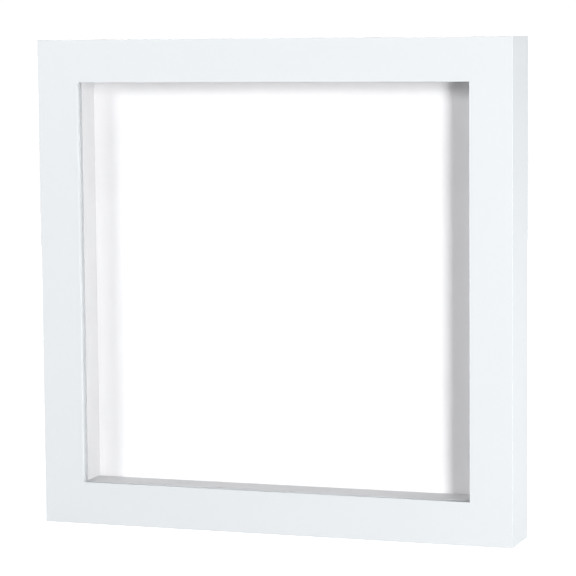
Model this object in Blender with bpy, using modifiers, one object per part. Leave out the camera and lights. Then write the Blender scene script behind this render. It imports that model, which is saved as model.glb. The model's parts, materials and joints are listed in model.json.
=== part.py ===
"""Square shadow box: a deep mitred white frame, glass, spacers and a linen display board.

Metres, +Z up. The box stands on its lower rail with its glass towards -Y, and turn buttons close its back.
The origin is the middle of the bottom of its bounding box. Every piece hangs from one empty in the middle of
the front face, where local Y is the distance behind the front. Each side of the frame has its own empty below
that one, turned about Y, in which X runs along the rail and the rail lies towards -Z.
"""

import math

import bmesh
import bpy

# Frame moulding
FRAME_SIZE = 0.356
RAIL_FACE = 0.031
RAIL_DEPTH = 0.0445
LIP_THICKNESS = 0.006
FRONT_ARRIS = 0.0008
LIP_ARRIS = 0.0006
BACK_ARRIS = 0.0005

# Sheets in the rabbet, all cut to the 12 inch format
PANE_SIZE = 0.3048
RABBET_PLAY = 0.0005
GLASS_THICKNESS = 0.002
SPACER_DEPTH = 0.0216
LINEN_THICKNESS = 0.0005
LINEN_TURN_IN = 0.015
BACKING_THICKNESS = 0.003
SHEET_CHAMFER = 0.0002

# Clearance between pieces that touch
GAP = 0.0003

# Corner V-nails
NAIL_INWARD = (0.008, 0.018)
NAIL_LEG = 0.0045
NAIL_THICKNESS = 0.0006
NAIL_HEIGHT = 0.010
NAIL_HALF_ANGLE = 50

# Turn buttons, with their screws
BUTTON_SPACING = 0.200
BUTTON_FROM_RABBET = 0.009
BUTTON_THICKNESS = 0.0012
BUTTON_HUB_RADIUS = 0.005
BUTTON_TIP_RADIUS = 0.0032
BUTTON_REACH = 0.015
BUTTON_SCREW = {"shank": 0.00145, "head": 0.0030, "head_height": 0.0019, "length": 0.012}

# D-ring hangers on the two upright rails
HANGER_ABOVE_MIDDLE = 0.060
HANGER_INWARD = 0.0125
STRAP_WIDTH = 0.010
STRAP_THICKNESS = 0.0014
STRAP_HOLE_BELOW_BAR = 0.0083
BARREL_RADIUS = 0.00205
BARREL_LIFT = 0.00005
BARREL_BORE_RADIUS = 0.00135
RING_WIRE_RADIUS = 0.0011
RING_HALF_WIDTH = 0.0074
RING_CORNER_RADIUS = 0.0016
HANGER_SCREW = {"shank": 0.00175, "head": 0.0034, "head_height": 0.0022, "length": 0.014}

# Rubber wall bumpers on the lower rail
BUMPER_FROM_MIDDLE = 0.146
BUMPER_INWARD = 0.0125
BUMPER_BASE_RADIUS = 0.0063
BUMPER_FACE_RADIUS = 0.0056
BUMPER_THICKNESS = 0.0055
BUMPER_ROUNDING = 0.0006

# Facets round a full circle of each size of piece
SMALL_FACETS = 12
ROUND_FACETS = 24

# Places worked out from these dimensions: distances behind the front face, or inward from the outer edge
HALF = FRAME_SIZE / 2
RABBET_INWARD = HALF - PANE_SIZE / 2 - RABBET_PLAY
MITRE_CLEARANCE = GAP / 2 * math.sqrt(2)
GLASS_FRONT = LIP_THICKNESS + GAP
SPACER_FRONT = GLASS_FRONT + GLASS_THICKNESS + GAP
LINEN_FRONT = SPACER_FRONT + SPACER_DEPTH + GAP
BACKING_FRONT = RAIL_DEPTH - BACKING_THICKNESS
LINEN_BACK = BACKING_FRONT - GAP
CORE_FRONT = LINEN_FRONT + LINEN_THICKNESS + GAP
CORE_BACK = LINEN_BACK - LINEN_THICKNESS - GAP
BUTTON_INWARD = RABBET_INWARD - BUTTON_FROM_RABBET
TOTAL_DEPTH = RAIL_DEPTH + GAP + BUMPER_THICKNESS

# Each side's turn about Y, and what its local -X and +X ends are called
SIDES = {
    "bottom": (0, ("left", "right")),
    "left": (90, ("upper", "lower")),
    "top": (180, ("right", "left")),
    "right": (270, ("lower", "upper")),
}
# The corner at each side's local -X end
CORNERS = {"bottom": "bottom_left", "left": "top_left", "top": "top_right", "right": "bottom_right"}

# A flat outline drawn in X and Y stands up in X and Z; a turned piece's +Z points out of the back
STANDING = (math.radians(90), 0, 0)
OUT_OF_BACK = (math.radians(-90), 0, 0)


def clear_scene():
    for obj in list(bpy.data.objects):
        bpy.data.objects.remove(obj)


def new_collection(name):
    collection = bpy.data.collections.new(name)
    bpy.context.scene.collection.children.link(collection)
    return collection


def new_material(name, colour, roughness, metallic=0.0, transmission=0.0):
    material = bpy.data.materials.new(name)
    material.use_nodes = True
    shader = material.node_tree.nodes["Principled BSDF"]
    shader.inputs["Base Color"].default_value = (*colour, 1)
    shader.inputs["Roughness"].default_value = roughness
    shader.inputs["Metallic"].default_value = metallic
    shader.inputs["Transmission Weight"].default_value = transmission
    return material


def add_empty(name, parent, location=(0, 0, 0), turn=0):
    empty = bpy.data.objects.new(name, None)
    empty.parent = parent
    empty.location = location
    empty.rotation_euler = (0, math.radians(turn), 0)
    parts.objects.link(empty)
    return empty


def add_piece(name, data, material, parent, location, rotation=(0, 0, 0)):
    """Places one visible piece. A piece that repeats shares its mesh or curve."""
    piece = bpy.data.objects.new(name, data)
    if not data.materials:
        data.materials.append(material)
    piece.parent = parent
    piece.location = location
    piece.rotation_euler = rotation
    parts.objects.link(piece)
    return piece


def add_cutter(name, data, parent, location, rotation, group):
    cutter = bpy.data.objects.new(name, data)
    cutter.parent = parent
    cutter.location = location
    cutter.rotation_euler = rotation
    cutter.hide_render = True
    cutter.display_type = "WIRE"
    group.objects.link(cutter)
    return cutter


def add_boolean(piece, name, operation, cutter):
    """Joins or cuts the piece with one object, or with every object of a collection."""
    boolean = piece.modifiers.new(name, "BOOLEAN")
    boolean.operation = operation
    if isinstance(cutter, bpy.types.Collection):
        boolean.operand_type = "COLLECTION"
        boolean.collection = cutter
    else:
        boolean.object = cutter


def add_bevel(piece, width, segments=1):
    bevel = piece.modifiers.new("edges", "BEVEL")
    bevel.width = width
    bevel.segments = segments
    bevel.angle_limit = math.radians(40)


def mesh_from(bm, name, smooth=False):
    mesh = bpy.data.meshes.new(name)
    bmesh.ops.recalc_face_normals(bm, faces=bm.faces)
    bm.to_mesh(mesh)
    bm.free()
    if smooth:
        mesh.shade_smooth()
        mesh.set_sharp_from_angle(angle=math.radians(35))
    return mesh


def arc(centre_x, centre_y, radius, start, end, steps):
    """Points along an arc from the start angle to the end angle, in degrees, both ends included."""
    points = []
    for step in range(steps + 1):
        angle = math.radians(start + (end - start) * step / steps)
        points.append((centre_x + radius * math.cos(angle), centre_y + radius * math.sin(angle)))
    return points


def block_mesh(name, size):
    """A box of this size centred on its origin."""
    bm = bmesh.new()
    bmesh.ops.create_cube(bm, size=1)
    bmesh.ops.scale(bm, vec=size, verts=bm.verts)
    return mesh_from(bm, name)


def cylinder_mesh(name, radius, length, facets, end_radius=None):
    """A cylinder, or a cone that narrows towards +Z, centred on its origin."""
    bm = bmesh.new()
    bmesh.ops.create_cone(
        bm,
        cap_ends=True,
        segments=facets,
        radius1=radius,
        radius2=radius if end_radius is None else end_radius,
        depth=length,
    )
    return mesh_from(bm, name, smooth=True)


def prism_mesh(name, outline, thickness):
    """An outline in X and Y pulled into a solid centred on Z = 0."""
    bm = bmesh.new()
    face = bm.faces.new([bm.verts.new((x, y, -thickness / 2)) for x, y in outline])
    pulled = bmesh.ops.extrude_face_region(bm, geom=[face])["geom"]
    moved = [item for item in pulled if isinstance(item, bmesh.types.BMVert)]
    bmesh.ops.translate(bm, vec=(0, 0, thickness), verts=moved)
    return mesh_from(bm, name)


def flat_curve(name, loops, thickness):
    """A filled 2D curve. Loops inside the first one are holes."""
    curve = bpy.data.curves.new(name, "CURVE")
    curve.dimensions = "2D"
    curve.fill_mode = "BOTH"
    curve.extrude = thickness / 2
    for loop in loops:
        spline = curve.splines.new("POLY")
        spline.points.add(len(loop) - 1)
        spline.use_cyclic_u = True
        for point, (x, y) in zip(spline.points, loop):
            point.co = (x, y, 0, 1)
    return curve


def rail_section():
    """The moulding's section as (inward, behind the front) points: face, lip, rabbet and back."""
    lip_edge = RAIL_FACE - LIP_ARRIS
    back_edge = RAIL_DEPTH - BACK_ARRIS
    return [
        *arc(FRONT_ARRIS, FRONT_ARRIS, FRONT_ARRIS, 180, 270, 3),
        *arc(lip_edge, LIP_ARRIS, LIP_ARRIS, 270, 360, 3),
        (RAIL_FACE, LIP_THICKNESS),
        (RABBET_INWARD, LIP_THICKNESS),
        (RABBET_INWARD, RAIL_DEPTH),
        *arc(BACK_ARRIS, back_edge, BACK_ARRIS, 90, 180, 2),
    ]


def rail_mesh():
    """The section pulled along X between two 45 degree mitres, so its inner edge is the shorter one."""
    bm = bmesh.new()
    section = rail_section()
    ends = []
    for inward, behind in section:
        ends.append(bm.verts.new((-HALF + inward + MITRE_CLEARANCE, behind, -HALF + inward)))
    face = bm.faces.new(ends)
    pulled = bmesh.ops.extrude_face_region(bm, geom=[face])["geom"]
    for vert in pulled:
        if isinstance(vert, bmesh.types.BMVert):
            vert.co.x = -vert.co.x
    return mesh_from(bm, "rail")


def nail_outline(clearance=0.0):
    """A V of bent strip with its point at the origin and its legs towards +X."""
    angle = math.radians(NAIL_HALF_ANGLE)
    half = NAIL_THICKNESS / 2 + clearance
    leg = NAIL_LEG + clearance
    tip = half / math.sin(angle)
    end_x = leg * math.cos(angle)
    end_y = leg * math.sin(angle)
    side_x = half * math.sin(angle)
    side_y = half * math.cos(angle)
    return [
        (-tip, 0),
        (end_x - side_x, -end_y - side_y),
        (end_x + side_x, -end_y + side_y),
        (tip, 0),
        (end_x + side_x, end_y - side_y),
        (end_x - side_x, end_y + side_y),
    ]


def screw_mesh(name, screw):
    """Half the outline of a pan head screw, in X and Z, for a Screw modifier. Z = 0 is under the head."""
    shank, head, height = screw["shank"], screw["head"], screw["head_height"]
    crown = head * 0.55
    point_length = shank * 1.8
    outline = [
        (0, height),
        (crown, height * 0.93),
        (head * 0.88, height * 0.66),
        (head, height * 0.25),
        (head, 0),
        (shank, 0),
        (shank, point_length - screw["length"]),
        (0, -screw["length"]),
    ]
    bm = bmesh.new()
    verts = [bm.verts.new((x, 0, z)) for x, z in outline]
    for first, second in zip(verts, verts[1:]):
        bm.edges.new((first, second))
    mesh = bpy.data.meshes.new(name)
    bm.to_mesh(mesh)
    bm.free()
    return mesh


def add_screw(name, mesh, material, parent, location):
    screw = add_piece(name, mesh, material, parent, location, OUT_OF_BACK)
    turned = screw.modifiers.new("turned", "SCREW")
    turned.steps = SMALL_FACETS
    turned.render_steps = SMALL_FACETS
    turned.use_merge_vertices = True
    turned.merge_threshold = 0.00001
    turned.use_smooth_shade = True
    return screw


def add_pilot_hole(name, screw, parent, x, z, head_seat):
    """A blind hole from behind the rail's back face, one gap wider and deeper than the screw in it."""
    overrun = 0.001
    depth = screw["length"] - head_seat + GAP
    mesh = cylinder_mesh(name, screw["shank"] + GAP, depth + overrun, SMALL_FACETS)
    middle = RAIL_DEPTH + (overrun - depth) / 2
    add_cutter(name, mesh, parent, (x, middle, z), OUT_OF_BACK, rail_cutters)


def make_rails(sides, paint):
    mesh = rail_mesh()
    for side, empty in sides.items():
        rail = add_piece(f"rail_{side}", mesh, paint, empty, (0, 0, 0))
        add_boolean(rail, "screw holes and nail slots", "DIFFERENCE", rail_cutters)


def make_corner_nails(sides, steel):
    """Two V-nails across each mitre, driven in just below the frame's back face."""
    slot_clearance = GAP
    overrun = 0.001
    nail = prism_mesh("corner_nail", nail_outline(), NAIL_HEIGHT)
    slot_height = NAIL_HEIGHT + 2 * GAP + overrun
    slot = prism_mesh("nail_slot", nail_outline(slot_clearance), slot_height)
    along_mitre = (math.radians(90), math.radians(-45), 0)
    nail_middle = RAIL_DEPTH - GAP - NAIL_HEIGHT / 2
    slot_middle = RAIL_DEPTH + overrun - slot_height / 2
    for side, empty in sides.items():
        for place, inward in zip(("outer", "inner"), NAIL_INWARD):
            name = f"corner_nail_{CORNERS[side]}_{place}"
            at = -HALF + inward
            add_piece(name, nail, steel, empty, (at, nail_middle, at), along_mitre)
            add_cutter(f"slot_{name}", slot, empty, (at, slot_middle, at), along_mitre, rail_cutters)


def make_glass(middle, glass):
    mesh = block_mesh("glass_pane", (PANE_SIZE, GLASS_THICKNESS, PANE_SIZE))
    pane = add_piece("glass_pane", mesh, glass, middle, (0, GLASS_FRONT + GLASS_THICKNESS / 2, 0))
    add_bevel(pane, SHEET_CHAMFER)


def make_spacers(sides, board):
    """Four strips behind the glass, flush with the lip. The upper and lower ones run the full width."""
    thickness = RAIL_FACE - RABBET_INWARD - GAP
    full = 2 * (HALF - RABBET_INWARD - GAP)
    between = 2 * (HALF - RAIL_FACE - GAP)
    place = (0, SPACER_FRONT + SPACER_DEPTH / 2, -HALF + RABBET_INWARD + GAP + thickness / 2)
    for side, empty in sides.items():
        length = full if side in ("top", "bottom") else between
        mesh = block_mesh(f"spacer_{side}", (length, SPACER_DEPTH, thickness))
        strip = add_piece(f"spacer_{side}", mesh, board, empty, place)
        add_bevel(strip, SHEET_CHAMFER)


def make_linen_cover(middle, linen):
    """Cloth over the foam core: across its front, round its four edges and turned in on its back."""
    depth = LINEN_BACK - LINEN_FRONT
    bm = bmesh.new()
    bmesh.ops.create_cube(bm, size=1)
    bmesh.ops.scale(bm, vec=(PANE_SIZE, depth, PANE_SIZE), verts=bm.verts)
    back = max(bm.faces, key=lambda face: face.calc_center_median().y)
    bmesh.ops.inset_region(bm, faces=[back], thickness=LINEN_TURN_IN)
    bmesh.ops.delete(bm, geom=[back], context="FACES_ONLY")
    mesh = bpy.data.meshes.new("linen_cover")
    bm.to_mesh(mesh)
    bm.free()
    cover = add_piece("linen_cover", mesh, linen, middle, (0, LINEN_FRONT + depth / 2, 0))
    thickness = cover.modifiers.new("cloth thickness", "SOLIDIFY")
    thickness.thickness = LINEN_THICKNESS
    thickness.offset = -1
    thickness.use_even_offset = True


def make_boards(middle, foam, hardboard):
    wrap = LINEN_THICKNESS + GAP
    core_size = PANE_SIZE - 2 * wrap
    core = block_mesh("foam_core", (core_size, CORE_BACK - CORE_FRONT, core_size))
    add_piece("foam_core", core, foam, middle, (0, (CORE_FRONT + CORE_BACK) / 2, 0))
    backing = block_mesh("backing_board", (PANE_SIZE, BACKING_THICKNESS, PANE_SIZE))
    panel = add_piece(
        "backing_board", backing, hardboard, middle, (0, BACKING_FRONT + BACKING_THICKNESS / 2, 0)
    )
    add_bevel(panel, SHEET_CHAMFER)


def button_outline():
    """A hub round the pivot at the origin and a smaller round tip towards +Y, joined by their tangents."""
    tip_y = BUTTON_REACH - BUTTON_TIP_RADIUS
    lean = math.degrees(math.asin((BUTTON_HUB_RADIUS - BUTTON_TIP_RADIUS) / tip_y))
    hub = arc(0, 0, BUTTON_HUB_RADIUS, 180 - lean, 360 + lean, 14)
    tip = arc(0, tip_y, BUTTON_TIP_RADIUS, lean, 180 - lean, 8)
    return hub + tip


def make_turn_buttons(sides, zinc, steel):
    """Two on each side. Each turns on its screw and reaches over the backing board."""
    bore = arc(0, 0, BUTTON_SCREW["shank"] + GAP, 0, 360, SMALL_FACETS)[:-1]
    button = flat_curve("turn_button", [button_outline(), bore], BUTTON_THICKNESS)
    screw = screw_mesh("turn_button_screw", BUTTON_SCREW)
    z = -HALF + BUTTON_INWARD
    button_y = RAIL_DEPTH + GAP + BUTTON_THICKNESS / 2
    head_seat = BUTTON_THICKNESS + 2 * GAP
    for side, empty in sides.items():
        for direction, end in zip((-1, 1), SIDES[side][1]):
            x = direction * BUTTON_SPACING / 2
            which = f"{side}_{end}"
            add_piece(f"turn_button_{which}", button, zinc, empty, (x, button_y, z), STANDING)
            add_screw(f"turn_button_screw_{which}", screw, steel, empty, (x, RAIL_DEPTH + head_seat, z))
            add_pilot_hole(f"turn_button_hole_{which}", BUTTON_SCREW, empty, x, z, head_seat)


def strap_outline():
    """A tongue from the bar at Y = 0 down to a round end about the screw hole."""
    half = STRAP_WIDTH / 2
    return [(half, 0), (-half, 0), *arc(0, -STRAP_HOLE_BELOW_BAR, half, 180, 360, 12)]


def ring_path():
    """The ring's wire, clockwise from the bar at Y = 0: two small corners and a half circle below."""
    corner_x = RING_HALF_WIDTH - RING_CORNER_RADIUS
    right = arc(corner_x, -RING_CORNER_RADIUS, RING_CORNER_RADIUS, 90, 0, 3)
    below = arc(0, -RING_HALF_WIDTH, RING_HALF_WIDTH, 0, -180, 14)
    left = arc(-corner_x, -RING_CORNER_RADIUS, RING_CORNER_RADIUS, 180, 90, 3)
    return right + below + left


def ring_curve():
    curve = bpy.data.curves.new("hanger_ring", "CURVE")
    curve.dimensions = "3D"
    curve.bevel_depth = RING_WIRE_RADIUS
    curve.bevel_resolution = 2
    path = ring_path()
    spline = curve.splines.new("POLY")
    spline.points.add(len(path) - 1)
    spline.use_cyclic_u = True
    for point, (x, y) in zip(spline.points, path):
        point.co = (x, y, 0, 1)
    return curve


def make_hangers(middle, zinc, steel):
    """A strap folded round a D-ring's bar on each upright rail. The ring hangs down round its screw."""
    strap_y = RAIL_DEPTH + GAP + STRAP_THICKNESS / 2
    bar_y = RAIL_DEPTH + GAP + BARREL_LIFT + BARREL_RADIUS
    hole_z = HANGER_ABOVE_MIDDLE - STRAP_HOLE_BELOW_BAR
    head_seat = STRAP_THICKNESS + 2 * GAP
    across = (0, math.radians(90), 0)
    strap_mesh = prism_mesh("hanger_strap", strap_outline(), STRAP_THICKNESS)
    barrel = cylinder_mesh("barrel", BARREL_RADIUS, STRAP_WIDTH, SMALL_FACETS)
    bore = cylinder_mesh("barrel_bore", BARREL_BORE_RADIUS, STRAP_WIDTH + 0.002, SMALL_FACETS)
    hole = cylinder_mesh("strap_hole", HANGER_SCREW["shank"] + GAP, 0.006, SMALL_FACETS)
    ring = ring_curve()
    screw = screw_mesh("hanger_screw", HANGER_SCREW)
    for side, x in (("left", -HALF + HANGER_INWARD), ("right", HALF - HANGER_INWARD)):
        bar = (x, bar_y, HANGER_ABOVE_MIDDLE)
        hole_at = (x, strap_y, hole_z)
        name = f"hanger_strap_{side}"
        strap = add_piece(name, strap_mesh, zinc, middle, (x, strap_y, HANGER_ABOVE_MIDDLE), STANDING)
        joined = add_cutter(f"barrel_{side}", barrel, middle, bar, across, cutters)
        bored = add_cutter(f"bore_{side}", bore, middle, bar, across, cutters)
        pierced = add_cutter(f"strap_hole_{side}", hole, middle, hole_at, OUT_OF_BACK, cutters)
        add_boolean(strap, "fold", "UNION", joined)
        add_boolean(strap, "bar hole", "DIFFERENCE", bored)
        add_boolean(strap, "screw hole", "DIFFERENCE", pierced)
        add_piece(f"hanger_ring_{side}", ring, steel, middle, bar, STANDING)
        add_screw(f"hanger_screw_{side}", screw, steel, middle, (x, RAIL_DEPTH + head_seat, hole_z))
        add_pilot_hole(f"hanger_hole_{side}", HANGER_SCREW, middle, x, hole_z, head_seat)


def make_bumpers(bottom, rubber):
    y = RAIL_DEPTH + GAP + BUMPER_THICKNESS / 2
    z = -HALF + BUMPER_INWARD
    mesh = cylinder_mesh(
        "wall_bumper", BUMPER_BASE_RADIUS, BUMPER_THICKNESS, ROUND_FACETS, BUMPER_FACE_RADIUS
    )
    for side, x in (("left", -BUMPER_FROM_MIDDLE), ("right", BUMPER_FROM_MIDDLE)):
        bumper = add_piece(f"wall_bumper_{side}", mesh, rubber, bottom, (x, y, z), OUT_OF_BACK)
        add_bevel(bumper, BUMPER_ROUNDING, segments=2)


def main():
    paint = new_material("white_lacquer", (0.80, 0.84, 0.86), 0.32)
    glass = new_material("clear_glass", (0.95, 0.98, 0.97), 0.02, transmission=1.0)
    board = new_material("white_board", (0.86, 0.87, 0.88), 0.8)
    linen = new_material("white_linen", (0.90, 0.90, 0.89), 0.95)
    foam = new_material("white_foam", (0.88, 0.88, 0.86), 0.9)
    hardboard = new_material("brown_hardboard", (0.30, 0.19, 0.11), 0.75)
    zinc = new_material("zinc_plate", (0.62, 0.63, 0.64), 0.35, metallic=1.0)
    steel = new_material("bright_steel", (0.70, 0.70, 0.70), 0.28, metallic=1.0)
    rubber = new_material("clear_grey_rubber", (0.35, 0.36, 0.37), 0.6)

    middle = add_empty("front_middle", None, (0, -TOTAL_DEPTH / 2, HALF))
    sides = {side: add_empty(f"side_{side}", middle, turn=turn) for side, (turn, _) in SIDES.items()}

    make_rails(sides, paint)
    make_corner_nails(sides, steel)
    make_glass(middle, glass)
    make_spacers(sides, board)
    make_linen_cover(middle, linen)
    make_boards(middle, foam, hardboard)
    make_turn_buttons(sides, zinc, steel)
    make_hangers(middle, zinc, steel)
    make_bumpers(sides["bottom"], rubber)


clear_scene()
parts = new_collection("shadow_box")
cutters = new_collection("cutters")
rail_cutters = new_collection("rail_cutters")
main()
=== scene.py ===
"""Looks of the white square shadow box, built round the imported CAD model.

Metres, +Z up, in the CAD model's frame: the glass faces -Y and the box stands on Z = 0. The rails are drawn
in their side's own space, in which X runs along the rail, Y is the distance behind the front face and the
rail lies towards -Z from the middle of the opening. side_matrix() puts that space in place. The screws and
bumpers are drawn about Z, and on_back() stands them on the back.
"""

import json
import math
from collections import namedtuple

import bmesh
import bpy
from mathutils import Matrix, Quaternion, Vector


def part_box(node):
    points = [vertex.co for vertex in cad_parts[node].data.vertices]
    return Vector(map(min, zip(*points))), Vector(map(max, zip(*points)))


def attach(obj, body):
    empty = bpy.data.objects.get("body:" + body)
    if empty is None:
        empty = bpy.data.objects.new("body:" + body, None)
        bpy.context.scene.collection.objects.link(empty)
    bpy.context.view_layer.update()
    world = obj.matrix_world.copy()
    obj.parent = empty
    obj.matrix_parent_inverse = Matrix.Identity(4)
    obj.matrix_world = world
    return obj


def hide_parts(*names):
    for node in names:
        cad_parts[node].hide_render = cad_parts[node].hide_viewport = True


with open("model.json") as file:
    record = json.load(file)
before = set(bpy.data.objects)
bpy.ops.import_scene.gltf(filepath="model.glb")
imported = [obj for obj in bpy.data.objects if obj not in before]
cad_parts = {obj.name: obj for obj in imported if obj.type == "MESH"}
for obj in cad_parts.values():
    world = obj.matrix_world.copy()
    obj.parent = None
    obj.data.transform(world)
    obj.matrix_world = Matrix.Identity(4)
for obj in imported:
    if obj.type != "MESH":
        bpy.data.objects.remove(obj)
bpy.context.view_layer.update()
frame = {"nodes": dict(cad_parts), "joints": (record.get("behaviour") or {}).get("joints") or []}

# The four sides' turns about Y, and the two ends of each where the turn buttons are, from local -X to +X
SIDE_TURNS = {"bottom": 0, "left": 90, "top": 180, "right": 270}
BUTTON_ENDS = {
    "bottom": ("left", "right"),
    "left": ("upper", "lower"),
    "top": ("right", "left"),
    "right": ("lower", "upper"),
}
HANDS = ("left", "right")

# Driving places, read from the frame
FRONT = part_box("rail_left")[0].y
HALF = -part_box("rail_left")[0].x
RAIL_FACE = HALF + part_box("rail_left")[1].x
RAIL_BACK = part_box("rail_left")[1].y
RAIL_DEPTH = RAIL_BACK - FRONT
PANE_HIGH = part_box("glass_pane")[1]
BOARD_LOW, BOARD_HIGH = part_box("linen_cover")
RABBET_PLAY = 0.0005
RABBET_INWARD = HALF - PANE_HIGH.x - RABBET_PLAY

# Moulding
LIP_THICKNESS = 0.0062
FACE_ARRIS = 0.00025
LIP_ARRIS = 0.0002
BACK_ARRIS = 0.0006
MITRE_GAP = 0.00001
SHADOW_LINE_BEHIND = 0.0045
SHADOW_LINE_WIDTH = 0.0005
SHADOW_LINE_DEPTH = 0.0004

# Cuts in the rails: play round a V-nail and a screw, how much of a nail's back end is pulled out to open its
# slot, how far a cutter stands clear of what it cuts, and how near two points have to be to become one
NAIL_SLOT_CLEARANCE = 0.00006
SCREW_HOLE_CLEARANCE = 0.0001
NAIL_BACK_END = 0.001
CUT_OVERRUN = 0.001
WELD_DISTANCE = 0.000001

# Glass, strips and boards. The mirror is the share of light that the glass reflects head on.
SPACER_ROUNDING = 0.00015
SPACER_JOINT = 0.00008
GLASS_MIRROR = 0.017
LINEN_THICKNESS = 0.0005
LINEN_ROUNDING = 0.0012
LINEN_TURN_IN = 0.015
LINEN_INNER_SQUARE = 0.5
THREAD_SPACING = 0.00062
FOAM_ROUNDING = 0.0004
NAIL_ROUNDING = 0.00008

# Camera: aimed at a point on the front face, right of and above its middle
LENS = 159.65
AIM_RIGHT = 0.01373
AIM_UP = 0.00088
CAMERA_DISTANCE = 1.8183
CAMERA_AZIMUTH = 19.05
CAMERA_ELEVATION = 5.655
CAMERA_ROLL = -0.495


# ---------------------------------------------------------------- helpers


def side_matrix(side):
    """Puts one side's own space in place in the frame."""
    turn = Matrix.Rotation(math.radians(SIDE_TURNS[side]), 4, "Y")
    return Matrix.Translation((0, FRONT, HALF)) @ turn


def arc(centre_x, centre_y, radius, start, end, steps):
    """Points along an arc from the start angle to the end angle, in degrees, both ends included."""
    points = []
    for step in range(steps + 1):
        angle = math.radians(start + (end - start) * step / steps)
        points.append((centre_x + radius * math.cos(angle), centre_y + radius * math.sin(angle)))
    return points


def on_back(middle, seat, turn=0.0):
    """Stands a piece drawn about Z on a seat this far back, facing backwards and turned by an angle."""
    place = Matrix.Translation((middle.x, seat, middle.z))
    return place @ Matrix.Rotation(math.radians(-90), 4, "X") @ Matrix.Rotation(math.radians(turn), 4, "Z")


def middle_of(node):
    low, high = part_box(node)
    return (low + high) / 2


def pivot_of(node):
    """Where the joint that moves this CAD node is."""
    joint = next(joint for joint in frame["joints"] if joint["child"] == node)
    return Vector(joint["pos_m"])


def add_object(name, mesh):
    """Links a mesh or a lamp or a camera into the scene under this name."""
    obj = bpy.data.objects.new(name, mesh)
    bpy.context.scene.collection.objects.link(obj)
    return obj


def mesh_from(bm, name, matrix=None):
    """Turns a bmesh into a mesh, moved into place, with its faces pointing out."""
    if matrix is not None:
        bm.transform(matrix)
    bmesh.ops.recalc_face_normals(bm, faces=bm.faces)
    mesh = bpy.data.meshes.new(name)
    bm.to_mesh(mesh)
    bm.free()
    return mesh


def smooth(mesh, angle=30):
    """Shades a mesh smooth, with sharp edges where its faces meet at more than this angle."""
    mesh.shade_smooth()
    mesh.set_sharp_from_angle(angle=math.radians(angle))


def prism(outline, low, high):
    """A bmesh of an outline in X and Y, pulled from low to high along Z."""
    bm = bmesh.new()
    face = bm.faces.new([bm.verts.new((x, y, low)) for x, y in outline])
    pulled = bmesh.ops.extrude_face_region(bm, geom=[face])["geom"]
    moved = [item for item in pulled if isinstance(item, bmesh.types.BMVert)]
    bmesh.ops.translate(bm, vec=(0, 0, high - low), verts=moved)
    return bm


def turned(profile, steps):
    """A bmesh of a closed (radius, height) profile turned about Z. Both of its ends are on the axis."""
    bm = bmesh.new()
    verts = [bm.verts.new((radius, 0, height)) for radius, height in profile]
    edges = [bm.edges.new(pair) for pair in zip(verts, verts[1:])]
    bmesh.ops.spin(
        bm, geom=verts + edges, axis=(0, 0, 1), cent=(0, 0, 0), angle=math.tau, steps=steps, use_merge=True
    )
    bmesh.ops.remove_doubles(bm, verts=bm.verts, dist=WELD_DISTANCE)
    return bm


def applied(mesh, booleans=(), bevel=None):
    """The mesh after cutting, joining or keeping what it shares with each (operation, mesh), and a Bevel."""
    piece = add_object("being_cut", mesh)
    tools = []
    for operation, tool_mesh in booleans:
        tool = add_object("tool", tool_mesh)
        cut = piece.modifiers.new("cut", "BOOLEAN")
        cut.operation = operation
        cut.object = tool
        tools.append(tool)
    if bevel:
        rounding = piece.modifiers.new("rounding", "BEVEL")
        rounding.width = bevel
        rounding.segments = 3
        rounding.angle_limit = math.radians(40)
    graph = bpy.context.evaluated_depsgraph_get()
    result = bpy.data.meshes.new_from_object(piece.evaluated_get(graph))
    for obj in [piece, *tools]:
        bpy.data.objects.remove(obj)
    return result


def join_rows(bm, first, second):
    """A closed band of faces between two rings of points."""
    count = len(first)
    for k in range(count):
        bm.faces.new((first[k], first[(k + 1) % count], second[(k + 1) % count], second[k]))


def finish_piece(obj, body, material, slot, *nodes):
    """Gives a piece its material and its body, and hides the CAD nodes that it stands for. The slot is not
    used.
    """
    obj.data.materials.clear()
    obj.data.materials.append(material)
    flat_faces = obj.modifiers.new("flat faces", "WEIGHTED_NORMAL")
    flat_faces.keep_sharp = True
    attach(obj, body)
    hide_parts(*nodes)


# ---------------------------------------------------------------- materials


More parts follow.
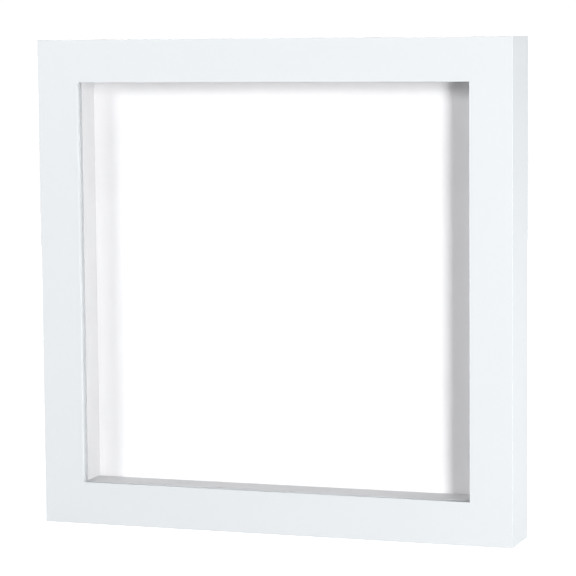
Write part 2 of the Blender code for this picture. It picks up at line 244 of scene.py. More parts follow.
class Nodes:
    """Short calls for building one material's nodes."""

    def __init__(self, name):
        self.material = bpy.data.materials.new(name)
        self.material.use_nodes = True
        self.tree = self.material.node_tree
        self.shader = self.tree.nodes["Principled BSDF"]
        self.output = self.tree.nodes["Material Output"]

    def add(self, kind, **inputs):
        node = self.tree.nodes.new(f"ShaderNode{kind}")
        for name, value in inputs.items():
            self.put(node, name.replace("_", " "), value)
        return node

    def put(self, node, name, value):
        if isinstance(value, bpy.types.NodeSocket):
            self.tree.links.new(value, node.inputs[name])
        else:
            node.inputs[name].default_value = value

    def set(self, **inputs):
        for name, value in inputs.items():
            self.put(self.shader, name.replace("_", " "), value)

    def place(self):
        return self.add("TexCoord").outputs["Object"]

    def stretched(self, vector, scale):
        node = self.add("Mapping", Vector=vector, Scale=scale)
        return node.outputs["Vector"]

    def noise(self, vector, scale, detail=2.0, roughness=0.5):
        node = self.add("TexNoise", Vector=vector, Scale=scale, Detail=detail, Roughness=roughness)
        return node.outputs["Fac"]

    def range(self, value, low, high, from_low=0.0, from_high=1.0):
        node = self.add("MapRange")
        self.put(node, 0, value)
        for index, number in enumerate((from_low, from_high, low, high), start=1):
            node.inputs[index].default_value = number
        return node.outputs[0]

    def math(self, operation, first, second=0.0):
        node = self.add("Math")
        node.operation = operation
        self.put(node, 0, first)
        self.put(node, 1, second)
        return node.outputs[0]

    def mix(self, share, first, second):
        node = self.add("Mix")
        node.data_type = "RGBA"
        self.put(node, 0, share)
        for index, colour in ((6, first), (7, second)):
            value = colour if isinstance(colour, bpy.types.NodeSocket) else (*colour, 1)
            self.put(node, index, value)
        return node.outputs[2]

    def bump(self, height, distance, strength=1.0, normal=None):
        node = self.add("Bump", Height=height, Distance=distance, Strength=strength)
        if normal is not None:
            self.put(node, "Normal", normal)
        return node.outputs["Normal"]


def lacquer_material():
    """Satin white sprayed lacquer: a cool white, faint orange peel and a few fine dust nibs."""
    n = Nodes("white_lacquer")
    place = n.place()
    cloud = n.noise(place, 9, detail=3)
    peel = n.noise(place, 420, detail=2)
    nibs = n.range(n.noise(place, 1500, detail=1), 0, 1, from_low=0.70, from_high=0.80)
    colour = n.mix(cloud, (0.657, 0.681, 0.699), (0.670, 0.694, 0.712))
    peeled = n.bump(peel, 0.00003, strength=0.5)
    n.set(
        Base_Color=colour,
        Roughness=n.range(n.noise(place, 60, detail=4), 0.40, 0.48),
        Specular_IOR_Level=0.35,
        Normal=n.bump(nibs, 0.00003, strength=0.3, normal=peeled),
    )
    return n.material


def glass_material():
    """Thin clear picture glass: it lets light straight through and mirrors a little."""
    n = Nodes("clear_glass")
    n.tree.nodes.remove(n.shader)
    place = n.place()
    through = n.add("BsdfTransparent", Color=(0.990, 0.991, 0.993, 1))
    haze = n.noise(place, 14, detail=3)
    mirror = n.add("BsdfGlossy", Color=(1, 1, 1, 1))
    n.put(mirror, "Roughness", n.range(haze, 0.01, 0.03))
    grazing = n.add("LayerWeight", Blend=0.5).outputs["Facing"]
    share = n.math("MULTIPLY_ADD", n.math("POWER", grazing, 5.0), 1 - GLASS_MIRROR)
    n.put(share.node, 2, GLASS_MIRROR)
    both = n.add("MixShader")
    n.put(both, 0, share)
    n.put(both, 1, through.outputs[0])
    n.put(both, 2, mirror.outputs[0])
    n.put(n.output, "Surface", both.outputs[0])
    return n.material


def board_material():
    """White paper-faced board: matt, with fine fibres pressed flat."""
    n = Nodes("white_board")
    place = n.place()
    fibres = n.noise(n.stretched(place, (260, 900, 260)), 1, detail=5, roughness=0.65)
    cloud = n.noise(place, 25, detail=3)
    n.set(
        Base_Color=n.mix(cloud, (0.655, 0.655, 0.661), (0.685, 0.685, 0.691)),
        Roughness=n.range(fibres, 0.72, 0.88),
        Normal=n.bump(fibres, 0.00006, strength=0.5),
    )
    return n.material


def linen_material():
    """Plain-weave linen: warp and weft cross over and under, with thicker slubs along some threads."""
    n = Nodes("white_linen")
    place = n.place()
    wobble = n.add("VectorMath")
    wobble.operation = "MULTIPLY_ADD"
    drift = n.add("TexNoise", Vector=place, Scale=35.0)
    n.put(wobble, 0, drift.outputs["Color"])
    n.put(wobble, 1, (0.0009, 0.0009, 0.0009))
    n.put(wobble, 2, place)
    parts = n.add("SeparateXYZ", Vector=wobble.outputs[0])
    across, up = parts.outputs["X"], parts.outputs["Z"]
    threads = math.pi / THREAD_SPACING
    warp = n.math("SINE", n.math("MULTIPLY", across, threads))
    weft = n.math("SINE", n.math("MULTIPLY", up, threads))
    warp_round = n.math("ABSOLUTE", warp)
    weft_round = n.math("ABSOLUTE", weft)
    over = n.range(n.math("MULTIPLY", warp, weft), 0, 1, from_low=-0.25, from_high=0.25)
    lift = n.add("Mix")
    n.put(lift, 0, over)
    n.put(lift, 2, n.math("MULTIPLY", warp_round, n.math("POWER", weft_round, 0.4)))
    n.put(lift, 3, n.math("MULTIPLY", weft_round, n.math("POWER", warp_round, 0.4)))
    slubs = n.noise(n.stretched(place, (1500, 40, 40)), 1, detail=2)
    crossing_slubs = n.noise(n.stretched(place, (40, 40, 1500)), 1, detail=2)
    uneven = n.math("ADD", n.range(slubs, -0.5, 0.5), n.range(crossing_slubs, -0.5, 0.5))
    height = n.math("ADD", lift.outputs[0], n.math("MULTIPLY", uneven, 0.7))
    # Painted shade from the weave's height: the colour darkens where threads dip under and lightens on
    # raised threads and slubs.
    shade = n.range(height, 0, 1, from_low=-0.1, from_high=1.0)
    n.set(
        Base_Color=n.mix(shade, (0.845, 0.842, 0.852), (0.910, 0.907, 0.917)),
        Roughness=n.range(height, 0.95, 0.85),
        Sheen_Weight=0.15,
        Sheen_Roughness=0.5,
        Normal=n.bump(height, 0.00012, strength=0.6),
    )
    return n.material


def foam_material():
    """Foam board: a fine-celled foam surface on every face."""
    n = Nodes("white_foam")
    place = n.place()
    cells = n.add("TexVoronoi", Vector=place, Scale=2200.0).outputs["Distance"]
    # Painted shade: the colour darkens towards each cell's middle, where the bump sinks it.
    n.set(
        Base_Color=n.mix(cells, (0.80, 0.80, 0.78), (0.90, 0.90, 0.89)),
        Roughness=n.range(cells, 0.80, 0.95),
        Normal=n.bump(cells, 0.00010, strength=0.6),
    )
    return n.material


def hardboard_material():
    """Brown hardboard: smooth pressed face with long dark fibres and pale flecks."""
    n = Nodes("brown_hardboard")
    place = n.place()
    warped = n.add("VectorMath")
    warped.operation = "MULTIPLY_ADD"
    n.put(warped, 0, n.add("TexNoise", Vector=place, Scale=60.0).outputs["Color"])
    n.put(warped, 1, (0.006, 0.006, 0.006))
    n.put(warped, 2, place)
    fibres = n.noise(n.stretched(warped.outputs[0], (900, 300, 300)), 1, detail=6, roughness=0.7)
    crossing = n.noise(n.stretched(warped.outputs[0], (280, 300, 850)), 1, detail=6, roughness=0.7)
    felt = n.math("MULTIPLY", fibres, crossing)
    cloud = n.noise(place, 12, detail=4)
    flecks = n.range(n.noise(place, 700, detail=2), 0, 1, from_low=0.64, from_high=0.74)
    brown = n.mix(cloud, (0.20, 0.105, 0.052), (0.27, 0.150, 0.078))
    darkened = n.mix(n.range(felt, 1, 0, from_low=0.15, from_high=0.35), brown, (0.12, 0.060, 0.030))
    flecked = n.mix(flecks, darkened, (0.36, 0.23, 0.13))
    n.set(
        Base_Color=flecked,
        Roughness=n.range(felt, 0.62, 0.42, from_low=0.15, from_high=0.40),
        Normal=n.bump(felt, 0.00012, strength=0.5),
    )
    return n.material


def metal_material(name, colour, worn, low, high):
    """Plated steel with faint rolling marks and cloudy plating."""
    n = Nodes(name)
    place = n.place()
    cloud = n.noise(place, 260, detail=4)
    marks = n.noise(n.stretched(place, (4000, 900, 900)), 1, detail=3)
    n.set(
        Base_Color=n.mix(cloud, colour, worn),
        Metallic=1.0,
        Roughness=n.range(marks, low, high),
        Normal=n.bump(marks, 0.000004, strength=0.4),
    )
    return n.material


def rubber_material():
    """Soft grey rubber with a matt moulded skin."""
    n = Nodes("grey_rubber")
    place = n.place()
    skin = n.noise(place, 2600, detail=3)
    cloud = n.noise(place, 180, detail=3)
    n.set(
        Base_Color=n.mix(cloud, (0.105, 0.107, 0.112), (0.135, 0.137, 0.142)),
        Roughness=n.range(skin, 0.55, 0.72),
        Normal=n.bump(skin, 0.00004, strength=0.6),
    )
    return n.material


def floor_material():
    """A pale floor: the camera sees it almost white, and it throws only a soft light on the box."""
    n = Nodes("pale_floor")
    place = n.place()
    cloud = n.noise(place, 3, detail=2)
    seen = n.add("LightPath").outputs["Is Camera Ray"]
    n.set(
        Base_Color=n.mix(n.math("MULTIPLY", cloud, seen), (0.40, 0.40, 0.40), (0.88, 0.88, 0.88)),
        Roughness=n.range(cloud, 0.85, 0.95),
        Emission_Color=(1, 1, 1, 1),
        Emission_Strength=n.range(seen, 0.01, 0.96),
    )
    return n.material


# ---------------------------------------------------------------- frame


def rail_section():
    """The moulding as (inward, behind the front) points, with a fine shadow line round its outer side."""
    lip_edge = RAIL_FACE - LIP_ARRIS
    back_edge = RAIL_DEPTH - BACK_ARRIS
    line = SHADOW_LINE_BEHIND
    half_line = SHADOW_LINE_WIDTH / 2
    return [
        *arc(FACE_ARRIS, FACE_ARRIS, FACE_ARRIS, 180, 270, 5),
        *arc(lip_edge, LIP_ARRIS, LIP_ARRIS, 270, 360, 5),
        (RAIL_FACE, LIP_THICKNESS),
        (RABBET_INWARD, LIP_THICKNESS),
        (RABBET_INWARD, RAIL_DEPTH),
        *arc(BACK_ARRIS, back_edge, BACK_ARRIS, 90, 180, 5),
        (0, line + half_line),
        (SHADOW_LINE_DEPTH, line),
        (0, line - half_line),
    ]


def rail_mesh(side):
    """The section pulled between two 45 degree mitres that all but close."""
    bm = bmesh.new()
    ends = []
    for inward, behind in rail_section():
        ends.append(bm.verts.new((-HALF + inward + MITRE_GAP, behind, -HALF + inward)))
    face = bm.faces.new(ends)
    pulled = bmesh.ops.extrude_face_region(bm, geom=[face])["geom"]
    for vert in pulled:
        if isinstance(vert, bmesh.types.BMVert):
            vert.co.x = -vert.co.x
    return mesh_from(bm, "rail", side_matrix(side))


def nail_slot_mesh(node):
    """The CAD nail a little fatter, and taller than the rail so that its slot opens at the back."""
    bm = bmesh.new()
    bm.from_mesh(frame["nodes"][node].data)
    bmesh.ops.remove_doubles(bm, verts=bm.verts, dist=WELD_DISTANCE)
    bmesh.ops.recalc_face_normals(bm, faces=bm.faces)
    bm.normal_update()
    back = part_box(node)[1].y
    for vert in bm.verts:
        opened = RAIL_BACK + CUT_OVERRUN if vert.co.y > back - NAIL_BACK_END else vert.co.y
        vert.co = vert.co + vert.normal * NAIL_SLOT_CLEARANCE
        vert.co.y = opened
    return mesh_from(bm, "nail_slot")


def screw_hole_mesh(node):
    """A cutter for a screw's hole, from the rail's back face as deep as the screw is long."""
    screw = screw_of(node)
    radius = screw.shank + SCREW_HOLE_CLEARANCE
    profile = [(0, CUT_OVERRUN), (radius, CUT_OVERRUN), (radius, -screw.length), (0, -screw.length)]
    return mesh_from(turned(profile, 24), "hole", on_back(middle_of(node), RAIL_BACK))


def on_rail(node, rail):
    """Whether a fastening's middle is on this rail, seen from behind."""
    low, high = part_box(rail)
    middle = middle_of(node)
    return low.x <= middle.x <= high.x and low.z <= middle.z <= high.z


def make_rails(lacquer):
    """The four rails, with the slots of their V-nails and the holes of their screws."""
    for side in SIDE_TURNS:
        node = f"rail_{side}"
        fastenings = [name for name in frame["nodes"] if on_rail(name, node)]
        slots = [nail_slot_mesh(name) for name in fastenings if name.startswith("corner_nail_")]
        holes = [screw_hole_mesh(name) for name in fastenings if "_screw_" in name]
        mesh = applied(rail_mesh(side), [("DIFFERENCE", cutter) for cutter in slots + holes])
        smooth(mesh)
        finish_piece(add_object(f"frame_{node}", mesh), "case", lacquer, "white_lacquer", node)


def make_spacers(board):
    """Paper-faced strips with closed butt joints and eased edges."""
    for side in SIDE_TURNS:
        node = f"spacer_{side}"
        low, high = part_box(node)
        if side in ("left", "right"):
            low.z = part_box("spacer_bottom")[1].z + SPACER_JOINT
            high.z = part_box("spacer_top")[0].z - SPACER_JOINT
        low.y = PANE_HIGH.y + SPACER_JOINT
        bm = bmesh.new()
        bmesh.ops.create_cube(bm, size=1)
        size = high - low
        middle = (high + low) / 2
        bm.transform(Matrix.Translation(middle) @ Matrix.Diagonal((*size, 1)))
        mesh = applied(mesh_from(bm, "spacer"), bevel=SPACER_ROUNDING)
        smooth(mesh)
        finish_piece(add_object(f"lining_{side}", mesh), "case", board, "white_board", node)


# ---------------------------------------------------------------- display board


def make_linen(linen):
    """One cut of cloth over the foam board: front, four wrapped edges and a turned-in hem behind."""
    half = BOARD_HIGH.x
    depth = BOARD_HIGH.y - BOARD_LOW.y
    radius = LINEN_ROUNDING
    front = arc(half - radius, radius, radius, 270, 360, 4)
    back = arc(half - radius, depth - radius, radius, 0, 90, 4)
    profile = [(half * LINEN_INNER_SQUARE, 0), *front, *back, (half - LINEN_TURN_IN, depth)]
    bm = bmesh.new()
    loops = []
    for reach, behind in profile:
        corners = [(-reach, -reach), (reach, -reach), (reach, reach), (-reach, reach)]
        loops.append([bm.verts.new((x, BOARD_LOW.y + behind, HALF + z)) for x, z in corners])
    bm.faces.new(loops[0])
    for inner, outer in zip(loops, loops[1:]):
        for k in range(4):
            bm.faces.new((inner[k], outer[k], outer[(k + 1) % 4], inner[(k + 1) % 4]))
    cloth = add_object("display_linen", mesh_from(bm, "linen"))
    outward = cloth.data.polygons[0].normal.y < 0
    thick = cloth.modifiers.new("cloth", "SOLIDIFY")
    thick.thickness = LINEN_THICKNESS
    thick.offset = -1 if outward else 1
    graph = bpy.context.evaluated_depsgraph_get()
    cloth.data = bpy.data.meshes.new_from_object(cloth.evaluated_get(graph))
    cloth.modifiers.clear()
    smooth(cloth.data)
    finish_piece(cloth, "case", linen, "white_linen", "linen_cover")


# ---------------------------------------------------------------- fastenings

# The radius of a screw's head, the head's height, the radius of its shank and the length below the head
Screw = namedtuple("Screw", "head height shank length")
SCREWS = {
    "button": Screw(0.0030, 0.0019, 0.00145, 0.012),
    "hanger": Screw(0.0034, 0.0022, 0.00175, 0.014),
}
SCREW_TURN_STEP = 37

# Pan head: the crown and the underside as shares of the head's radius, the crown's height and the rounded
# rim as shares of the head's height, the rim's arc in degrees, and its upright edge in metres
CROWN_RADIUS = 0.45
UNDERSIDE_RADIUS = 0.97
CROWN_HEIGHT = 0.985
RIM_ROUNDING = 0.45
RIM_ARC = 62
RIM_EDGE = 0.0001

# Cross recess: arm and reach as shares of the head's radius, its narrowing on the way down, its floor as a
# share of the head's height, and how far its cutter stands above the head
CROSS_ARM = 0.17
CROSS_REACH = 0.62
CROSS_NARROWING = 0.42
CROSS_FLOOR = 0.28
CROSS_ABOVE = 0.0005

# Thread: plain shank above it in metres; root, pitch, end and point as shares of the shank's radius; the
# start and end of the flat between two ridges as shares of the pitch
PLAIN_SHANK = 0.0012
THREAD_ROOT = 0.72
THREAD_PITCH = 0.9
THREAD_END = 1.6
SCREW_POINT = 1.5
FLAT_START = 0.25
FLAT_END = 0.6


def screw_of(node):
    return SCREWS["hanger" if node.startswith("hanger") else "button"]


def cross_mesh(radius, top, bottom):
    """A cutter for a cross recess that narrows as it goes down."""
    arm = radius * CROSS_ARM
    reach = radius * CROSS_REACH
    outline = [
        (arm, -reach), (arm, -arm), (reach, -arm), (reach, arm), (arm, arm), (arm, reach),
        (-arm, reach), (-arm, arm), (-reach, arm), (-reach, -arm), (-arm, -arm), (-arm, -reach),
    ]
    bm = prism(outline, bottom, top)
    for vert in bm.verts:
        if vert.co.z < (top + bottom) / 2:
            vert.co.x *= CROSS_NARROWING
            vert.co.y *= CROSS_NARROWING
    return mesh_from(bm, "cross")


def screw_mesh(screw):
    """A pan head screw with a cross recess, its thread and its point. Z = 0 is under the head."""
    head, height, shank, length = screw
    root = shank * THREAD_ROOT
    pitch = shank * THREAD_PITCH
    rim = height * RIM_ROUNDING
    profile = [(0, height), (head * CROWN_RADIUS, height * CROWN_HEIGHT)]
    profile += reversed(arc(head - rim, rim, rim, 0, RIM_ARC, 5))
    profile += [(head, RIM_EDGE), (head * UNDERSIDE_RADIUS, 0), (shank, 0), (shank, -PLAIN_SHANK)]
    down = PLAIN_SHANK
    while down + pitch < length - shank * THREAD_END:
        flat_start = -down - pitch * FLAT_START
        flat_end = -down - pitch * FLAT_END
        profile += [(root, flat_start), (root, flat_end), (shank, -down - pitch)]
        down += pitch
    profile += [(root, -length + shank * SCREW_POINT), (0, -length)]
    body = mesh_from(turned(profile, 32), "screw")
    cross = cross_mesh(head, height + CROSS_ABOVE, height * CROSS_FLOOR)
    mesh = applied(body, [("DIFFERENCE", cross)])
    smooth(mesh, 35)
    return mesh


def make_screws(steel):
    """Each screw's cross ends at a different angle, as it does when it is driven home by hand."""
    names = sorted(name for name in frame["nodes"] if "_screw_" in name)
    for index, node in enumerate(names):
        screw = screw_of(node)
        under_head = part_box(node)[1].y - screw.height
        turn = (index * SCREW_TURN_STEP) % 90
        mesh = screw_mesh(screw)
        mesh.transform(on_back(middle_of(node), under_head, turn))
        finish_piece(add_object(f"pan_head_{node}", mesh), "case", steel, "bright_steel", node)


# Turn button: the radii of its hub, tip and bore, its reach from the pivot, its sheet and its rounded edge
BUTTON_HUB = 0.005
BUTTON_TIP = 0.0032
BUTTON_BORE = 0.00175
BUTTON_REACH = 0.015
BUTTON_SHEET = 0.0009
BUTTON_EDGE = 0.00025
BUTTON_UNDER_EDGE = 0.6
BUTTON_TIP_OUT = BUTTON_REACH - BUTTON_TIP
BUTTON_LEAN = math.asin((BUTTON_HUB - BUTTON_TIP) / BUTTON_TIP_OUT)

# The thumb dimple's height and its radius as a share of the tip's; the height of the raised ring round the
# bore as a share of the dimple's, its radius as a share of the hub's, and its width in metres
DIMPLE_HEIGHT = 0.0003
DIMPLE_RADIUS = 0.75
BOSS_HEIGHT = 0.6
BOSS_RADIUS = 0.68
BOSS_WIDTH = 0.0006

# Its mesh: points round, rings from the bore out, how they crowd towards the outline, and halvings of the
# stretch of each direction in which the outline is looked for, between two shares of the hub and the reach
BUTTON_SPOKES = 96
BUTTON_RINGS = 14
RING_CROWDING = 1.6
OUTLINE_HALVINGS = 30
OUTLINE_NEAR = 0.9
OUTLINE_FAR = 1.1


def inside_button(point):
    """Whether a point is inside the hub circle, the tip circle or the straight sides that join them."""
    if point.length <= BUTTON_HUB or (point - Vector((0, BUTTON_TIP_OUT))).length <= BUTTON_TIP:
        return True
    normal = Vector((math.cos(BUTTON_LEAN), math.sin(BUTTON_LEAN)))
    flat = Vector((abs(point.x), point.y))
    along = flat.dot(Vector((-normal.y, normal.x)))
    return flat.dot(normal) <= BUTTON_HUB and 0 <= along <= BUTTON_TIP_OUT * math.cos(BUTTON_LEAN)


def button_outline(direction):
    """The point of the outline in this direction from the pivot."""
    low, high = BUTTON_HUB * OUTLINE_NEAR, BUTTON_REACH * OUTLINE_FAR
    for _ in range(OUTLINE_HALVINGS):
        middle = (low + high) / 2
        if inside_button(direction * middle):
            low = middle
        else:
            high = middle
    return direction * low


def button_height(point, inner, outer, top):
    """How high the sheet's upper or lower face is at a point between the bore and the outline."""
    from_edge = min((point - outer).length, (point - inner).length, BUTTON_EDGE)
    rounding = BUTTON_EDGE - math.sqrt(max(BUTTON_EDGE**2 - (BUTTON_EDGE - from_edge) ** 2, 0))
    if not top:
        return rounding * BUTTON_UNDER_EDGE
    off_tip = (point - Vector((0, BUTTON_TIP_OUT))).length / (BUTTON_TIP * DIMPLE_RADIUS)
    dimple = DIMPLE_HEIGHT * max(0.0, 1 - off_tip**2) ** 2
    off_boss = (point.length - BUTTON_HUB * BOSS_RADIUS) / BOSS_WIDTH
    boss = DIMPLE_HEIGHT * BOSS_HEIGHT * math.exp(-(off_boss**2))
    return BUTTON_SHEET + dimple + boss - rounding


def button_mesh():
    """Pressed sheet: rings of points from the bore out to the outline, raised where it is dimpled."""
    spokes = []
    for k in range(BUTTON_SPOKES):
        angle = math.tau * k / BUTTON_SPOKES
        direction = Vector((math.cos(angle), math.sin(angle)))
        spokes.append((direction * BUTTON_BORE, button_outline(direction)))
    bm = bmesh.new()
    layers = []
    for top in (False, True):
        grid = []
        for ring in range(BUTTON_RINGS + 1):
            share = 1 - (1 - ring / BUTTON_RINGS) ** RING_CROWDING
            row = []
            for inner, outer in spokes:
                point = inner.lerp(outer, share)
                row.append(bm.verts.new((point.x, point.y, button_height(point, inner, outer, top))))
            grid.append(row)
        layers.append(grid)
    for grid in layers:
        for inner_row, outer_row in zip(grid, grid[1:]):
            join_rows(bm, inner_row, outer_row)
    for ring in (0, -1):
        join_rows(bm, layers[0][ring], layers[1][ring])
    mesh = mesh_from(bm, "button")
    smooth(mesh, 50)
    return mesh


def make_turn_buttons(zinc):
    """Each button lies on its CAD node's seat and points towards the middle of the box."""
    for side, ends in BUTTON_ENDS.items():
        for end in ends:
            node = f"turn_button_{side}_{end}"
            pivot = pivot_of(node)
            place = Matrix.Translation((pivot.x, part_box(node)[0].y, pivot.z))
            turn = Matrix.Rotation(math.radians(SIDE_TURNS[side]), 4, "Y")
            stand = Matrix.Rotation(math.radians(90), 4, "X") @ Matrix.Diagonal((1, 1, -1, 1))
            mesh = button_mesh()
            mesh.transform(place @ turn @ stand)
            mesh.flip_normals()
            finish_piece(add_object(f"pressed_{node}", mesh), node, zinc, "zinc_plate", node)


# Hanger strap: its sheet, width and rounded edges, its screw hole, and the fold round the ring's bar with
# the ease where the outer leaf comes down to lie a hair's breadth from the inner one
STRAP_SHEET = 0.00066
STRAP_WIDTH = 0.010
STRAP_EDGE = 0.00012
STRAP_HOLE_RADIUS = 0.00205
STRAP_HOLE_BELOW_BAR = 0.0083
FOLD_RADIUS = 0.00172
FOLD_EASE = 0.0007
LEAF_GAP = 0.00004

# The tongue-shaped cutter: its inset from the strap's sides, its top above the bar, and where it ends behind
# and before the rail's back face. The hole's cutter reaches equally far on both sides of that face.
TONGUE_INSET = 0.00002
TONGUE_TOP = 0.004
TONGUE_BEHIND = 0.008
TONGUE_BEFORE = 0.002
STRAP_HOLE_CUT = 0.004

# D-ring: its wire, its bent corners, and the weld bead in the middle of its bar
WIRE_RADIUS = 0.0011
WIRE_SIDES = 20
RING_CORNER = 0.0016
BEAD_HEIGHT = 0.00012
BEAD_WIDTH = 0.0006
ON_BAR = 0.0001

# Bumper: the rounding of its top, and its moulding skirt's width, height and upright edge
BUMPER_EASE = 0.0011
SKIRT_WIDTH = 0.0007
SKIRT_HEIGHT = 0.0007
SKIRT_EDGE = 0.0005


def strap_profile(bar):
    """The strip's middle line in (behind the rail, above the bar), up the rail, round the bar and down."""
    end = -STRAP_HOLE_BELOW_BAR - STRAP_WIDTH / 2 - CUT_OVERRUN
    inner = bar - FOLD_RADIUS
    outer = inner + STRAP_SHEET + LEAF_GAP
    ease = FOLD_EASE
    round_bar = arc(bar, 0, FOLD_RADIUS, 180, -90, 20)
    back_down = arc(outer + ease, -FOLD_RADIUS - ease, ease, 90, 180, 5)
    return [(inner, end), *round_bar, *back_down, (outer, end)]


def thickened(line, half):
    """The outline of a strip that lies this far to each side of an open line."""
    left, right = [], []
    for k, point in enumerate(line):
        before = Vector(line[max(k - 1, 0)])
        after = Vector(line[min(k + 1, len(line) - 1)])
        along = (after - before).normalized()
        across = Vector((-along.y, along.x)) * half
        left.append(tuple(Vector(point) + across))
        right.append(tuple(Vector(point) - across))
    return left + right[::-1]


def strap_mesh(hand):
    """The folded strip, rounded below and pierced for its screw."""
    bar = pivot_of(f"hanger_ring_{hand}")
    behind = bar.y - RAIL_BACK
    strip = prism(thickened(strap_profile(behind), STRAP_SHEET / 2), -STRAP_WIDTH / 2, STRAP_WIDTH / 2)
    across = Matrix(((0, 0, 1, bar.x), (1, 0, 0, RAIL_BACK), (0, 1, 0, bar.z), (0, 0, 0, 1)))
    body = mesh_from(strip, "strap", across)
    half = STRAP_WIDTH / 2 - TONGUE_INSET
    tongue = [(half, TONGUE_TOP), (-half, TONGUE_TOP), *arc(0, -STRAP_HOLE_BELOW_BAR, half, 180, 360, 24)]
    standing = Matrix.Translation((bar.x, RAIL_BACK, bar.z)) @ Matrix.Rotation(math.radians(90), 4, "X")
    keep = mesh_from(prism(tongue, -TONGUE_BEHIND, TONGUE_BEFORE), "tongue", standing)
    radius, reach = STRAP_HOLE_RADIUS, STRAP_HOLE_CUT
    hole = turned([(0, reach), (radius, reach), (radius, -reach), (0, -reach)], 32)
    at_hole = Matrix.Translation((bar.x, RAIL_BACK, bar.z - STRAP_HOLE_BELOW_BAR))
    pierced = mesh_from(hole, "hole", at_hole @ Matrix.Rotation(math.radians(90), 4, "X"))
    mesh = applied(body, [("INTERSECT", keep), ("DIFFERENCE", pierced)], bevel=STRAP_EDGE)
    smooth(mesh, 40)
    return mesh


def ring_mesh(hand):
    """The D-ring: one loop of round wire, its bar at the top and a small weld bead in the bar's middle."""
    node = f"hanger_ring_{hand}"
    bar = pivot_of(node)
    half_width = (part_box(node)[1].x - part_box(node)[0].x) / 2 - WIRE_RADIUS
    corner = RING_CORNER
    path = arc(half_width - corner, -corner, corner, 90, 0, 6)
    path += arc(0, -half_width, half_width, 0, -180, 40)
    path += arc(corner - half_width, -corner, corner, 180, 90, 6)
    path += [(x * half_width / 8, 0) for x in range(-5, 6)]
    bm = bmesh.new()
    rows = []
    for k, (x, z) in enumerate(path):
        before, after = Vector(path[k - 1]), Vector(path[(k + 1) % len(path)])
        along = (after - before).normalized()
        across = Vector((along.y, -along.x))
        bead = BEAD_HEIGHT * math.exp(-((x / BEAD_WIDTH) ** 2)) if abs(z) < ON_BAR else 0
        radius = WIRE_RADIUS + bead
        row = []
        for turn in range(WIRE_SIDES):
            angle = math.tau * turn / WIRE_SIDES
            out = across * radius * math.cos(angle)
            behind = radius * math.sin(angle)
            row.append(bm.verts.new((bar.x + x + out.x, bar.y + behind, bar.z + z + out.y)))
        rows.append(row)
    for row, following in zip(rows, rows[1:] + rows[:1]):
        join_rows(bm, row, following)
    mesh = mesh_from(bm, "ring")
    mesh.shade_smooth()
    return mesh


def make_hangers(zinc, steel):
    for hand in HANDS:
        strap, ring = f"hanger_strap_{hand}", f"hanger_ring_{hand}"
        folded = add_object(f"folded_{strap}", strap_mesh(hand))
        finish_piece(folded, "case", zinc, "zinc_plate", strap)
        wire = add_object(f"wire_{ring}", ring_mesh(hand))
        finish_piece(wire, ring, steel, "bright_steel", ring)


def make_bumpers(rubber):
    """A low rubber dome with a flat top and a thin moulding skirt."""
    for hand in HANDS:
        node = f"wall_bumper_{hand}"
        low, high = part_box(node)
        radius = (high.x - low.x) / 2
        height = high.y - low.y
        ease = BUMPER_EASE
        top = arc(radius - SKIRT_WIDTH - ease, height - ease, ease, 90, 8, 7)
        skirt = [(radius - SKIRT_WIDTH / 2, SKIRT_HEIGHT), (radius, SKIRT_EDGE), (radius, 0)]
        profile = [(0, height), *top, *skirt, (0, 0)]
        mesh = mesh_from(turned(profile, 64), "bumper", on_back(middle_of(node), low.y))
        smooth(mesh, 50)
        finish_piece(add_object(f"soft_{node}", mesh), "case", rubber, "grey_rubber", node)


# ---------------------------------------------------------------- carried-over CAD nodes


def dress_node(name, material, rounding=None):
    """Gives a CAD node a material and, where it is asked for, eased edges."""
    node = frame["nodes"][name]
    node.data.materials.clear()
    node.data.materials.append(material)
    if rounding:
        bevel = node.modifiers.new("eased edges", "BEVEL")
        bevel.width = rounding
        bevel.segments = 2
        bevel.angle_limit = math.radians(40)


# ---------------------------------------------------------------- studio


def around(azimuth, elevation):
    """The direction from the box towards this place in the studio. Azimuth 0 is in front, 90 is at +X."""
    a, e = math.radians(azimuth), math.radians(elevation)
    return Vector((math.sin(a) * math.cos(e), -math.cos(a) * math.cos(e), math.sin(e)))


def add_light(name, azimuth, elevation, distance, width, height, power):
    """A white rectangular lamp that faces the middle of the front and that the camera doesn't see."""
    light = bpy.data.lights.new(name, "AREA")
    light.shape = "RECTANGLE"
    light.size = width
    light.size_y = height
    light.energy = power
    lamp = add_object(name, light)
    target = Vector((0, FRONT, HALF))
    lamp.location = target + around(azimuth, elevation) * distance
    lamp.rotation_mode = "QUATERNION"
    lamp.rotation_quaternion = (target - lamp.location).to_track_quat("-Z", "Y")
    lamp.visible_camera = False


# Azimuth, elevation, distance, width, height and power of each lamp
LAMPS = {
    "key": (40, 8, 4.5, 0.82, 1.27, 83),
    "key_low": (40, 1.2, 4.5, 0.82, 0.53, 95),
    "fill": (-34, 16, 4.0, 1.04, 1.04, 72),
    "side": (88, -5, 0.8, 0.5, 0.16, 2.7),
    "behind": (205, 14, 2.5, 1.2, 1.2, 40),
    "overhead": (180, 72, 2.5, 1.0, 1.0, 20),
}


def make_studio():
    for name, settings in LAMPS.items():
        add_light(name, *settings)


def make_floor():
    bm = bmesh.new()
    bmesh.ops.create_grid(bm, x_segments=8, y_segments=8, size=6)
    floor = add_object("floor", mesh_from(bm, "floor"))
    floor.data.materials.append(floor_material())


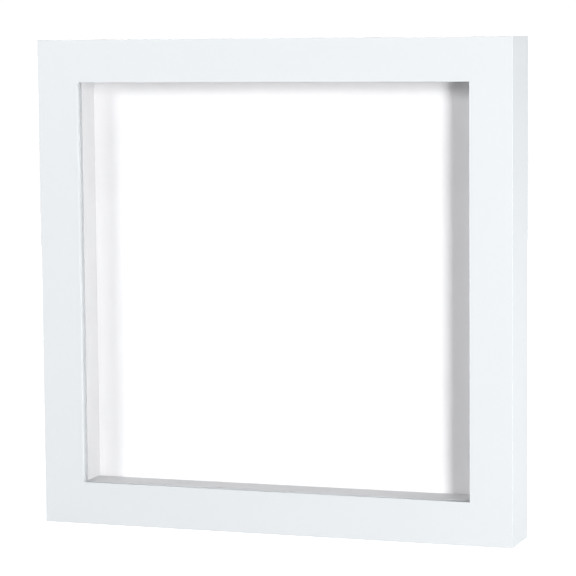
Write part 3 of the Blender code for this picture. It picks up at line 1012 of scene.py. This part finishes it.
def make_world():
    """White to the camera, and a softer white to the object."""
    world = bpy.data.worlds.new("studio")
    bpy.context.scene.world = world
    world.use_nodes = True
    tree = world.node_tree
    background = tree.nodes["Background"]
    background.inputs["Color"].default_value = (0.97, 0.985, 1, 1)
    background.inputs["Strength"].default_value = 0.07
    seen = tree.nodes.new("ShaderNodeBackground")
    seen.inputs["Color"].default_value = (1, 1, 1, 1)
    seen.inputs["Strength"].default_value = 1.05
    path = tree.nodes.new("ShaderNodeLightPath")
    both = tree.nodes.new("ShaderNodeMixShader")
    tree.links.new(path.outputs["Is Camera Ray"], both.inputs[0])
    tree.links.new(background.outputs[0], both.inputs[1])
    tree.links.new(seen.outputs[0], both.inputs[2])
    tree.links.new(both.outputs[0], tree.nodes["World Output"].inputs["Surface"])


def make_camera():
    camera = bpy.data.cameras.new("camera")
    camera.lens = LENS
    camera.sensor_width = 36
    camera.clip_start = 0.05
    camera.clip_end = 50
    eye = add_object("camera", camera)
    back = around(CAMERA_AZIMUTH, CAMERA_ELEVATION)
    aim = Vector((AIM_RIGHT, FRONT, HALF + AIM_UP))
    eye.location = aim + back * CAMERA_DISTANCE
    eye.rotation_mode = "QUATERNION"
    roll = Quaternion((0, 0, 1), math.radians(CAMERA_ROLL))
    eye.rotation_quaternion = (-back).to_track_quat("-Z", "Y") @ roll
    bpy.context.scene.camera = eye


def main():
    lacquer = lacquer_material()
    board = board_material()
    zinc = metal_material("zinc_plate", (0.60, 0.61, 0.62), (0.70, 0.71, 0.72), 0.26, 0.42)
    steel = metal_material("bright_steel", (0.62, 0.62, 0.62), (0.72, 0.72, 0.71), 0.20, 0.34)
    make_camera()
    make_rails(lacquer)
    make_spacers(board)
    make_linen(linen_material())
    make_turn_buttons(zinc)
    make_screws(steel)
    make_hangers(zinc, steel)
    make_bumpers(rubber_material())
    dress_node("glass_pane", glass_material())
    dress_node("foam_core", foam_material(), FOAM_ROUNDING)
    dress_node("backing_board", hardboard_material())
    for name in frame["nodes"]:
        if name.startswith("corner_nail_"):
            dress_node(name, steel, NAIL_ROUNDING)
    make_floor()
    make_world()
    make_studio()
    bpy.context.scene.view_settings.view_transform = "Standard"


main()
